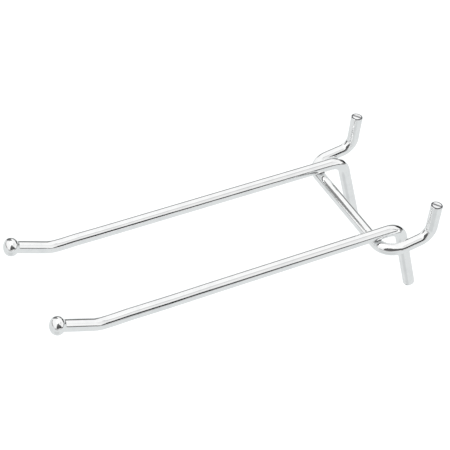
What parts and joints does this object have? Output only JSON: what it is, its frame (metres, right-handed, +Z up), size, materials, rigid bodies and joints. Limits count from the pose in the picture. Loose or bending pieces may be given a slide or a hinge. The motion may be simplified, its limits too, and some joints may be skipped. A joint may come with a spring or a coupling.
{
  "type": "pegboard hook",
  "caption": "Double-arm pegboard hook in bright plated wire, with ball-ended arms that turn up at the nose, welded across a bent wire with upturned pegs.",
  "frame": {"origin": "on the board's front face, midway between the two board holes that the pegs go through", "axes": "+Z up the board, +Y from the user into the board, +X to the right along it; the arms reach towards -Y"},
  "size_m": [0.0548, 0.1329, 0.0731],
  "materials": {
    "plated_wire": "bright zinc or chrome plating on drawn steel wire",
    "plated_weld": "plated over weld squeeze-out, slightly rough"
  },
  "bodies": {
    "root": {"left_arm": "plated_wire", "right_arm": "plated_wire", "hook_wire": "plated_wire", "left_weld": "plated_weld", "right_weld": "plated_weld"}
  },
  "joints": []
}
